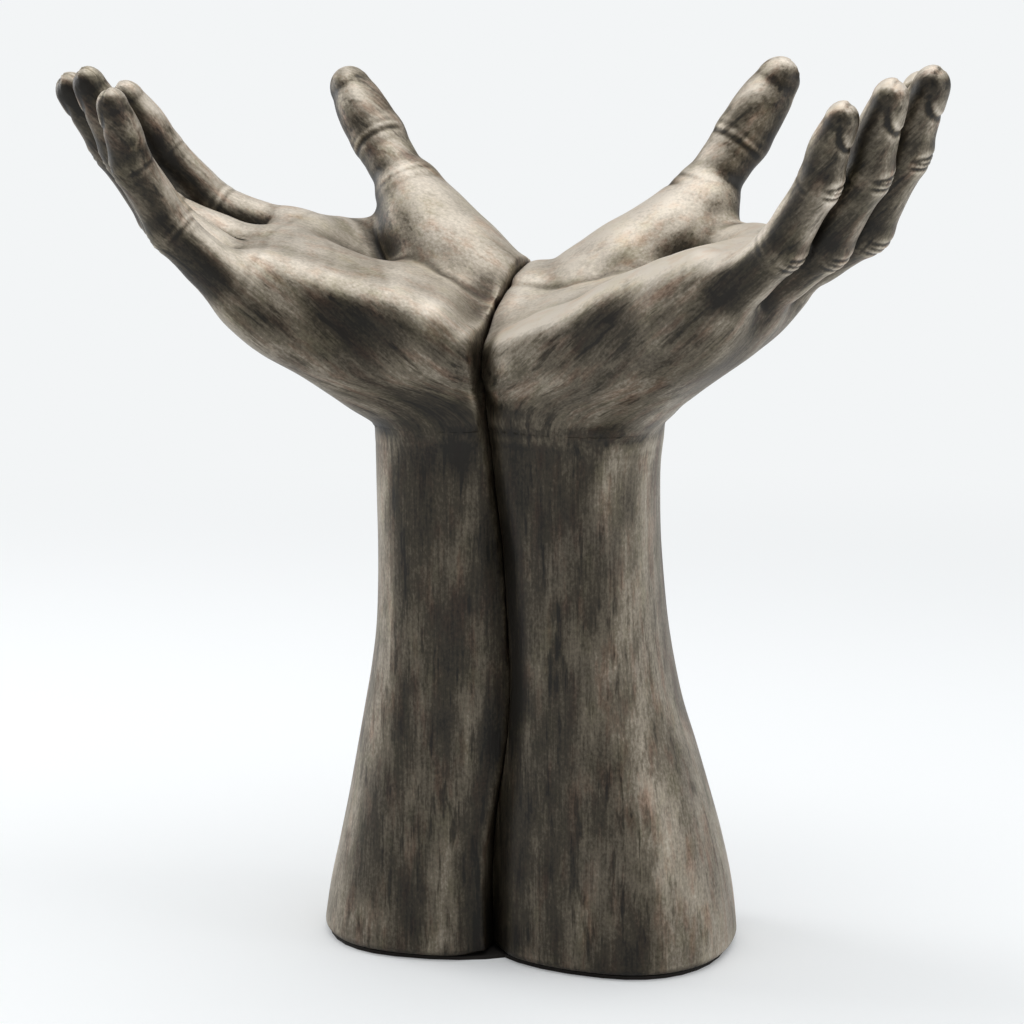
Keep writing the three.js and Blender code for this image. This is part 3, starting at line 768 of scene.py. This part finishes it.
def shareOfDigits(points, lines):
    # 1 on the thumb and the fingers, 0 on the rest
    share = np.zeros(len(points))
    for line in lines.values():
        spot = digitPlace(points, line)
        onDigit = ease(-spot["distance"], -2.5, -0.8) * ease(spot["place"], 0.1, 0.5)
        share = np.maximum(share, onDigit)
    return share


def sculptArm(name):
    # the clay's surface, smoothed by a share of each point that is 0 on the digits and small at
    # the seam, then moved along its normals by the details
    pose = poses[name]
    points, faces, lines = buildClay(name)
    digitShare = shareOfDigits(points, lines)
    onBody = (1 - digitShare) * ease(points[:, 2], 150, 175)
    onArm = ease(points[:, 2], 4, 9) * (1 - digitShare)
    points = points + (smoothed(points, faces, smoothing["forearm"]) - points) * onArm[:, None]
    meeting = pose["side"] * interpolate(armShape["meeting"], points[:, 2])
    offSeam = ease(points[:, 0] - meeting, 2, 12)
    onBody = onBody * offSeam
    points = points + (smoothed(points, faces, smoothing["palm"]) - points) * onBody[:, None]
    normals = normalsOf(points, faces)
    push, digitPaintAndShade = pressDetails(points, normals, lines, pose)
    points = points + normals * push[:, None]
    return {
        "points": points, "faces": faces, "normals": normalsOf(points, faces), "meeting": meeting,
        "offSeam": offSeam, "digitShare": digitShare, "digitPaintAndShade": digitPaintAndShade,
    }


def brushGrain(points, pose):
    # mm along and across the brush: up the forearm, then along the palm
    fromWrist = points - wristCentre
    upArm = np.stack([fromWrist[:, 2], fromWrist[:, 1], -fromWrist[:, 0]], -1)
    onHand = ease(points[:, 2], 184, 206)[:, None]
    grain = (1 - onHand) * upArm + onHand * (fromWrist @ palmFrame(pose))
    return grain + paint["shift"] if pose["side"] < 0 else grain


def hollowDepth(arm, kind):
    # how far each point lies under the surface smoothed around it, within the limits of the paint
    away = smoothed(arm["points"], arm["faces"], smoothing[kind]) - arm["points"]
    depth = np.clip((away * arm["normals"]).sum(1), *rubAndLight[kind])
    return depth * ease(arm["points"][:, 2], 2, 9)


def rubbedSilverAndLight(arm, pose):
    # silver left by the cloth, with painted light and shade: on the arm more by how far a place looks
    # outward, a painted sheen;
    # on the hand by how far it looks up, painted light from above; less on the digits, and painted shade in
    # the valley between the arms
    points, normals = arm["points"], arm["normals"]
    onHand = ease(points[:, 2], 184, 206)
    cloth = normalsOf(smoothed(points, arm["faces"], smoothing["cloth"]), arm["faces"])[:, 2]
    # painted light from above: the more the smoothed surface looks up, the paler, together with the silver
    # rubbed on it
    handRubAndLight = interpolate(rubAndLight["hand"], cloth) + pose["topLightAndRub"] * ease(cloth, 0.1, 0.5)
    # painted sheen on the arm's outer side, where the bright room reflects, over the rubbed silver
    armRubAndSheen = rubAndLight["arm"] + rubAndLight["armOuterSheen"] * ease(normals[:, 0], 0.25, 0.95)
    armRubAndSheen = armRubAndSheen + rubAndLight["armFoot"] * (1 - ease(points[:, 2], 15, 80))
    # painted shade in the valley where the arms meet, on faces turned to the front
    valleyShade = ease(16 - points[:, 0] + arm["meeting"], 0, 14) * ease(-normals[:, 1], -0.3, 0.4)
    rubbedAndLit = (1 - onHand) * armRubAndSheen + onHand * handRubAndLight + arm["digitPaintAndShade"]
    rubbedAndLit = rubbedAndLit + rubAndLight["digit"] * arm["digitShare"]
    return rubbedAndLit + valleyShade * (rubAndLight["valleyShade"][0] + rubAndLight["valleyShade"][1] * onHand)


def buildArm(name):
    # one arm sculpted, rated for the paint and parted into its castings
    pose = poses[name]
    arm = sculptArm(name)
    values = {
        "fineHollow": hollowDepth(arm, "fine") * (0.3 + 0.7 * arm["offSeam"]),
        "wideHollow": hollowDepth(arm, "wide"),
        # rubbed silver, with painted light from above, painted sheen and painted shade
        "rubbedAndLit": rubbedSilverAndLight(arm, pose),
    }
    grain = brushGrain(arm["points"], pose)
    pieces = []
    castings = splitAt(arm["points"], arm["faces"], armShape["seamHeight"] + 0.15)
    for part, (points, quads, triangles, used) in zip(("forearm", "hand"), castings):
        node = f"{name}_{part}"
        piece = makeMesh(f"{node}_cast", points, quads, triangles, pose["side"] < 0)
        for key, value in values.items():
            addAttribute(piece, key, np.append(value, 0)[used])
        addAttribute(piece, "grain", np.vstack([grain, [0, 0, 0]])[used] * 0.001, "FLOAT_VECTOR")
        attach(piece, "root")
        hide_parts(node)
        pieces.append(piece)
        print(f"stage: {piece.name}, {len(quads) * 2 + len(triangles)} triangles")
    return pieces


# Materials

def toLinear(text):
    # sRGB hex to linear, with alpha 1
    channels = [int(text[i:i + 2], 16) / 255 for i in (0, 2, 4)]
    return [c / 12.92 if c <= 0.04045 else ((c + 0.055) / 1.055) ** 2.4 for c in channels] + [1.0]


def newMaterial(name):
    # an empty node tree
    material = bpy.data.materials.new(name)
    material.use_nodes = True
    material.node_tree.nodes.clear()
    return material, material.node_tree


def addNode(tree, kind, settings=None, **links):
    # one node, its settings, and what feeds its sockets: a value, or another node's output
    node = tree.nodes.new(kind)
    for key, value in (settings or {}).items():
        setattr(node, key, value)
    for key, value in links.items():
        byNumber = key[0] == "i" and key[1:].isdigit()
        socket = node.inputs[int(key[1:]) if byNumber else key.replace("_", " ")]
        if isinstance(value, bpy.types.NodeSocket):
            tree.links.new(value, socket)
        else:
            socket.default_value = value
    return node


def rampOf(tree, factor, stops):
    # a value turned into a colour, in straight lines between the stops
    ramp = addNode(tree, "ShaderNodeValToRGB", i0=factor)
    ramp.color_ramp.interpolation = "LINEAR"
    elements = ramp.color_ramp.elements
    while len(elements) < len(stops):
        elements.new(0.5)
    for element, (place, text) in zip(elements, stops):
        element.position = place
        element.color = toLinear(text)
    return ramp.outputs["Color"]


paint = {
    "stops": [(0.0, "1b1710"), (0.22, "3c3529"), (0.45, "6d6455"), (0.7, "a99f8f"), (1.0, "e2d8c9")],
    "metallic": 0.4,
    "roughness": 0.46,
    # noises: mm across, mm along, detail, roughness, place in the noise
    "noises": {
        "streaks": (1.0, 19.0, 4, 0.6, 3),
        "dabs": (2.6, 20.0, 3, 0.6, 59),
        "patches": (15.0, 42.0, 2, 0.5, 11),
        "stipple": (0.9, 1.35, 3, 0.6, 23),
        "cloud": (9, 14, 4, 0.62, 31),
    },
    # what each noise and hollow does to the paint's level: factor, then what is added
    "levels": {
        "streaks": (0.42, -0.21), "patches": (1.0, -0.5), "cloud": (0.34, -0.17),
        "stipple": (0.42, -0.2), "fineHollow": (-2.7, 0.0), "wideHollow": (-0.16, 0.0),
    },
    "dabEdge": (0.54, 0.7),        # where a dark dab of the brush starts and is full
    "dabDepth": -0.22,
    "calmEdge": (0.3, 0.75),       # the more silver, the more even: from where to where
    "calm": 0.32,                  # what is left of the unevenness there
    # shares of the two noises that raise the paint, then strength and mm
    "bump": {"stipple": 0.35, "streaks": 0.65, "strength": 0.35, "depth": 0.4},
    "tintEdge": (0.5, 0.68),       # where a tint's noise starts to show and is full
    # rust, olive and lilac: colour, mm across, mm along, strength as a grey, place in the noise
    "tints": [
        ("9a5a3e", 5, 22, "b4b4b4", 47),
        ("6f7a48", 8, 18, "a0a0a0", 71),
        ("8a8a9c", 16, 24, "7a7a7a", 83),
    ],
    "shift": np.array([310.0, 470.0, 230.0]),    # mm, so that the two arms differ
}


def rubbedPaint():
    # resin casting painted brown-black, then dry-brushed with champagne pewter: pale where the brush caught
    # the ridges, dark in hollows, streaked along the limb, satin. Its level also carries painted light from
    # above, a painted sheen on the arms' outer sides and painted shade between the arms and between the
    # fingers
    material, tree = newMaterial("rubbedPewterOnResin")

    def attribute(name, output="Fac"):
        return addNode(tree, "ShaderNodeAttribute", {"attribute_name": name}).outputs[output]

    grain = attribute("grain", "Vector")
    # the paint's level: rubbed silver, with painted light from above, painted sheen and painted shade
    rubbedAndLit = attribute("rubbedAndLit")

    def noise(across, along, detail, roughness, shift):
        # the coordinate is in metres, so a scale of 1000 / mm gives one wave in that many mm
        placed = addNode(tree, "ShaderNodeMapping", Vector=grain, Location=(shift, shift, shift),
                         Scale=(1000 / along, 1000 / across, 1000 / across))
        waves = addNode(tree, "ShaderNodeTexNoise", Vector=placed.outputs[0], Scale=1.0, Detail=detail,
                        Roughness=roughness)
        return waves.outputs["Fac"]

    def scaled(value, factor, plus):
        total = addNode(tree, "ShaderNodeMath", {"operation": "MULTIPLY_ADD"}, i0=value, i1=factor, i2=plus)
        return total.outputs[0]

    def added(a, b):
        return addNode(tree, "ShaderNodeMath", {"operation": "ADD"}, i0=a, i1=b).outputs[0]

    noises = {key: noise(*row) for key, row in paint["noises"].items()}
    uneven = scaled(noises["streaks"], *paint["levels"]["streaks"])
    for key in ("patches", "cloud"):
        uneven = added(uneven, scaled(noises[key], *paint["levels"][key]))
    low, high = paint["dabEdge"]
    dabbed = addNode(tree, "ShaderNodeMapRange", {"interpolation_type": "SMOOTHSTEP"}, i0=noises["dabs"],
                     i1=low, i2=high, i3=0.0, i4=paint["dabDepth"])
    uneven = added(uneven, dabbed.outputs[0])
    low, high = paint["calmEdge"]
    calm = addNode(tree, "ShaderNodeMapRange", i0=rubbedAndLit, i1=low, i2=high, i3=1.0, i4=paint["calm"])
    uneven = addNode(tree, "ShaderNodeMath", {"operation": "MULTIPLY"}, i0=uneven, i1=calm.outputs[0])
    level = added(rubbedAndLit, uneven.outputs[0])
    level = added(level, scaled(noises["stipple"], *paint["levels"]["stipple"]))
    for key in ("fineHollow", "wideHollow"):
        level = added(level, scaled(attribute(key), *paint["levels"][key]))
    colour = rampOf(tree, level, paint["stops"])
    low, high = paint["tintEdge"]
    for tint, across, along, most, shift in paint["tints"]:
        place = rampOf(tree, noise(across, along, 4, 0.65, shift), [(low, "000000"), (high, most)])
        tinted = addNode(tree, "ShaderNodeMix", {"data_type": "RGBA", "blend_type": "SOFT_LIGHT"},
                         i0=place, i6=colour, i7=toLinear(tint))
        colour = tinted.outputs[2]
    relief = paint["bump"]
    bumpHeight = added(scaled(noises["stipple"], relief["stipple"], 0.0),
                       scaled(noises["streaks"], relief["streaks"], 0.0))
    bump = addNode(tree, "ShaderNodeBump", Height=bumpHeight, Strength=relief["strength"],
                   Distance=relief["depth"] * 0.001)
    shader = addNode(tree, "ShaderNodeBsdfPrincipled", Base_Color=colour, Metallic=paint["metallic"],
                     Roughness=paint["roughness"], Normal=bump.outputs[0])
    addNode(tree, "ShaderNodeOutputMaterial", Surface=shader.outputs[0])
    return material


def plainFinish(name, colour, roughness, metallic, grainSize, grainDepth):
    # one colour with a fine even grain pressed into it
    material, tree = newMaterial(name)
    place = addNode(tree, "ShaderNodeTexCoord").outputs["Object"]
    grain = addNode(tree, "ShaderNodeTexNoise", Vector=place, Scale=1000 / grainSize, Detail=3.0)
    depth = grainDepth * 0.001
    bump = addNode(tree, "ShaderNodeBump", Height=grain.outputs["Fac"], Strength=0.5, Distance=depth)
    shader = addNode(tree, "ShaderNodeBsdfPrincipled", Base_Color=toLinear(colour), Metallic=metallic,
                     Roughness=roughness, Normal=bump.outputs[0])
    addNode(tree, "ShaderNodeOutputMaterial", Surface=shader.outputs[0])
    return material


def dressInside():
    # plain finishes for the solids that no visible piece replaces
    finishes = {
        "wire": plainFinish("drawnSteelWire", "8d8f91", 0.35, 1.0, 0.5, 0.02),
        "tie_": plainFinish("zincPlatedSteel", "a3a5a6", 0.32, 1.0, 0.8, 0.02),
        "dowel": plainFinish("turnedBeech", "b98f5f", 0.6, 0.0, 1.2, 0.1),
        "plug": plainFinish("pressedBoard", "5a5148", 0.8, 0.0, 1.0, 0.15),
        "ballast": plainFinish("pouredPlaster", "d6d0c4", 0.9, 0.0, 0.8, 0.1),
        "felt": plainFinish("gluedWoolFelt", "25211e", 0.95, 0.0, 0.6, 0.3),
    }
    for name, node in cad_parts.items():
        for key, finish in finishes.items():
            if key in name:
                node.data.materials.clear()
                node.data.materials.append(finish)


# Room, light and camera

room = {
    "background": "f3f5f6",
    "light": "f4f6f8",
    "floor": "eceeef",
    "floorSize": 30,               # m to each side
    "worldLight": 0.36,
    "floorLift": 0.165,            # brightness added to the floor as the camera sees it
    "floorFade": (0.30, 1.1),      # m from the middle where the floor turns into the background
}


def buildRoom():
    # a pale world that only the camera sees white, and a floor that keeps the shadow
    world = bpy.data.worlds.new("paleStudio")
    bpy.context.scene.world = world
    world.use_nodes = True
    tree = world.node_tree
    tree.nodes.clear()
    path = addNode(tree, "ShaderNodeLightPath")
    seen = addNode(tree, "ShaderNodeMath", {"operation": "MAXIMUM"}, i0=path.outputs["Is Camera Ray"],
                   i1=path.outputs["Is Transmission Ray"])
    light = addNode(tree, "ShaderNodeBackground", Color=toLinear(room["light"]),
                    Strength=room["worldLight"])
    shown = addNode(tree, "ShaderNodeBackground", Color=toLinear(room["background"]), Strength=1.0)
    mix = addNode(tree, "ShaderNodeMixShader", i0=seen.outputs[0], i1=light.outputs[0], i2=shown.outputs[0])
    addNode(tree, "ShaderNodeOutputWorld", Surface=mix.outputs[0])

    size = room["floorSize"]
    mesh = bpy.data.meshes.new("floor")
    corners = [(-size, -size, 0), (size, -size, 0), (size, size, 0), (-size, size, 0)]
    mesh.from_pydata(corners, [], [(0, 1, 2, 3)])
    floor = bpy.data.objects.new("floor", mesh)
    bpy.context.scene.collection.objects.link(floor)
    material, tree = newMaterial("paleTable")
    place = addNode(tree, "ShaderNodeTexCoord").outputs["Object"]
    reach = addNode(tree, "ShaderNodeVectorMath", {"operation": "LENGTH"}, i0=place).outputs["Value"]
    low, high = room["floorFade"]
    fade = addNode(tree, "ShaderNodeMapRange", {"interpolation_type": "SMOOTHSTEP"}, i0=reach,
                   i1=low, i2=high)
    cloth = addNode(tree, "ShaderNodeBsdfDiffuse", Color=toLinear(room["floor"]))
    path = addNode(tree, "ShaderNodeLightPath")
    lift = addNode(tree, "ShaderNodeMath", {"operation": "MULTIPLY"}, i0=path.outputs["Is Camera Ray"],
                   i1=room["floorLift"])
    paper = toLinear(room["background"])
    lifted = addNode(tree, "ShaderNodeEmission", Color=paper, Strength=lift.outputs[0])
    near = addNode(tree, "ShaderNodeAddShader", i0=cloth.outputs[0], i1=lifted.outputs[0])
    glow = addNode(tree, "ShaderNodeEmission", Color=paper, Strength=1.0)
    mix = addNode(tree, "ShaderNodeMixShader", i0=fade.outputs[0], i1=near.outputs[0], i2=glow.outputs[0])
    addNode(tree, "ShaderNodeOutputMaterial", Surface=mix.outputs[0])
    mesh.materials.append(material)


lamps = {
    "overhead": {"at": (0.1, -0.1, 1.5), "size": 1.9, "power": 15},
    "frontLeft": {"at": (-1.1, -1.4, 0.9), "size": 1.0, "power": 2},
    "right": {"at": (1.6, -0.1, 0.6), "size": 1.0, "power": 6.5},
    "left": {"at": (-1.6, 0.2, 0.6), "size": 1.0, "power": 12},
}
lampAim = np.array([0, 0, 0.18])


def buildLamps():
    # round soft lamps, each aimed at a point of the object
    for name, lamp in lamps.items():
        light = bpy.data.lights.new(name, "AREA")
        light.shape = "DISK"
        light.size = lamp["size"]
        light.energy = lamp["power"]
        piece = bpy.data.objects.new(name, light)
        bpy.context.scene.collection.objects.link(piece)
        piece.location = lamp["at"]
        aim = lampAim - np.array(lamp["at"])
        piece.rotation_euler = Vector(aim).to_track_quat("-Z", "Y").to_euler()


view = {"at": (0.2285, -0.7976, 0.2972), "azimuth": 16.42, "down": 9.86, "lens": 84.375}


def buildCamera():
    # the photo's angle and lens, worked out from its outline
    data = bpy.data.cameras.new("studioCamera")
    data.lens = view["lens"]
    data.sensor_width = 36
    data.clip_start = 0.01
    camera = bpy.data.objects.new("studioCamera", data)
    bpy.context.scene.collection.objects.link(camera)
    camera.location = view["at"]
    camera.rotation_euler = (math.radians(90 - view["down"]), 0, math.radians(view["azimuth"]))
    bpy.context.scene.camera = camera


cast = []
for armName in poses:
    cast += buildArm(armName)
paintOnResin = rubbedPaint()
for piece in cast:
    piece.data.materials.append(paintOnResin)
dressInside()
print("stage: painted")
buildRoom()
buildLamps()
buildCamera()
bpy.context.scene.view_settings.view_transform = "Standard"
